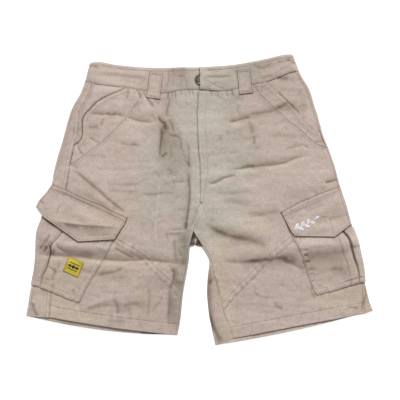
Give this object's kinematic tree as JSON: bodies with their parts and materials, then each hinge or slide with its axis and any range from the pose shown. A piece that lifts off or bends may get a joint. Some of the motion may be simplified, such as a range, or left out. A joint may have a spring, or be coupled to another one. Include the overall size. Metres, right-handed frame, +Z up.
{
  "type": "cargo shorts",
  "caption": "Knee-length cotton canvas cargo shorts laid flat, front up, with slanted hip pockets and pleated side pockets under pointed flaps.",
  "frame": {"origin": "middle of the shorts' outline on the surface they lie on", "axes": "+Z up out of the surface, +Y from the hems towards the waistband, +X towards the wearer's left leg"},
  "size_m": [0.66, 0.5515, 0.0119],
  "materials": {
    "canvas": "matt washed cotton canvas, stone beige",
    "patch_weave": "matt woven label cloth, yellow",
    "button_metal": "dark antiqued metal"
  },
  "bodies": {
    "root": {"back_left": "canvas", "back_right": "canvas", "front_upper_left": "canvas", "front_upper_right": "canvas", "front_lower_left": "canvas", "front_lower_right": "canvas", "hip_piece_left": "canvas", "hip_piece_right": "canvas", "pocket_band_left": "canvas", "pocket_band_right": "canvas", "waistband": "canvas", "belt_loop_front_left": "canvas", "belt_loop_front_right": "canvas", "belt_loop_back_left": "canvas", "belt_loop_back_centre": "canvas", "belt_loop_back_right": "canvas", "fly_placket": "canvas", "cargo_pocket_left": "canvas", "cargo_pocket_right": "canvas", "pocket_flap_left": "canvas", "pocket_flap_right": "canvas", "pocket_patch": "patch_weave", "button": "button_metal"}
  },
  "joints": []
}
